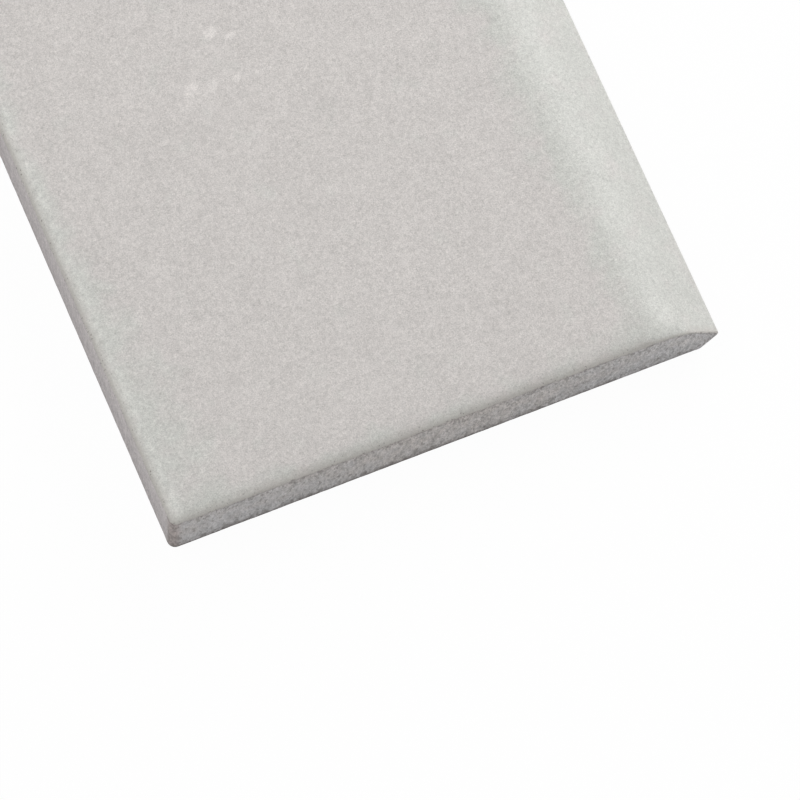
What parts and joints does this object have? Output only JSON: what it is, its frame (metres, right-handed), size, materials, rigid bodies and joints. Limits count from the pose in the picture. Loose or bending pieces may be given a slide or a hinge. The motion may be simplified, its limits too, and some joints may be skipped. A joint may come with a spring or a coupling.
{
  "type": "bullnose tile",
  "caption": "Pressed ceramic trim tile with a rounded nose along a long edge, cushioned glazed edges elsewhere and a keyed back.",
  "frame": {"origin": "middle of the tile's outline, on the plane of its back", "axes": "+X across the tile to its rounded nose, +Y along its length, +Z out of the glazed face"},
  "size_m": [0.075, 0.3, 0.0095],
  "materials": {
    "fired_tile": "matte pale grey glaze with a fine speckle over the face and nose, bare gritty fired body on the sides and back"
  },
  "bodies": {
    "root": {"bullnose_tile": "fired_tile"}
  },
  "joints": []
}
